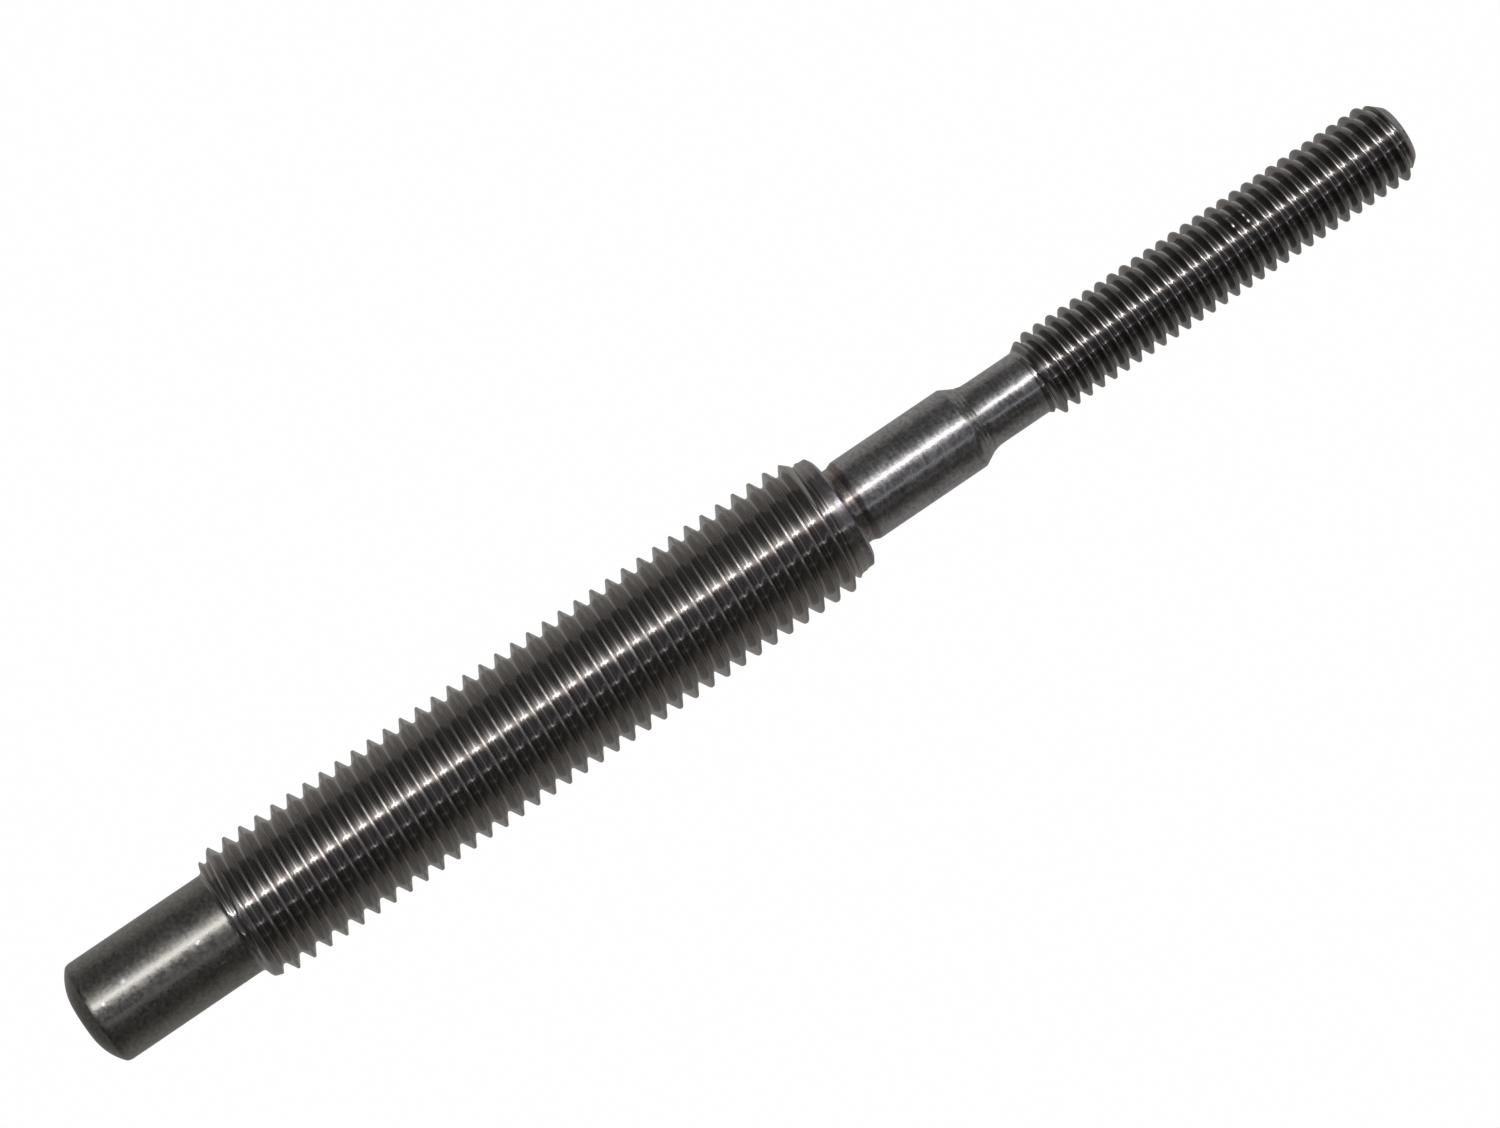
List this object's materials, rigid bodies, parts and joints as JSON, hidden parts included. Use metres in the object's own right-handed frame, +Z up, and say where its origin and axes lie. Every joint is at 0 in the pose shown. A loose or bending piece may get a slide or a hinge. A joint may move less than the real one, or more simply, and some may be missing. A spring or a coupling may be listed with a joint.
{
  "type": "threaded spindle",
  "caption": "Slim one-piece steel spindle with a plain pilot, a left-hand thread, a shoulder and shank, and a smaller right-hand thread.",
  "frame": {"origin": "centre of the flat end face of the plain pilot, on the spindle's axis", "axes": "+X along the spindle's axis from the pilot towards the small thread; +Z up; +Y sideways"},
  "size_m": [0.0838, 0.0078, 0.0078],
  "materials": {
    "turned_steel": "dark, lightly oiled turned steel with fine tool marks round the plain diameters"
  },
  "bodies": {
    "root": {"threaded_spindle": "turned_steel"}
  },
  "joints": []
}
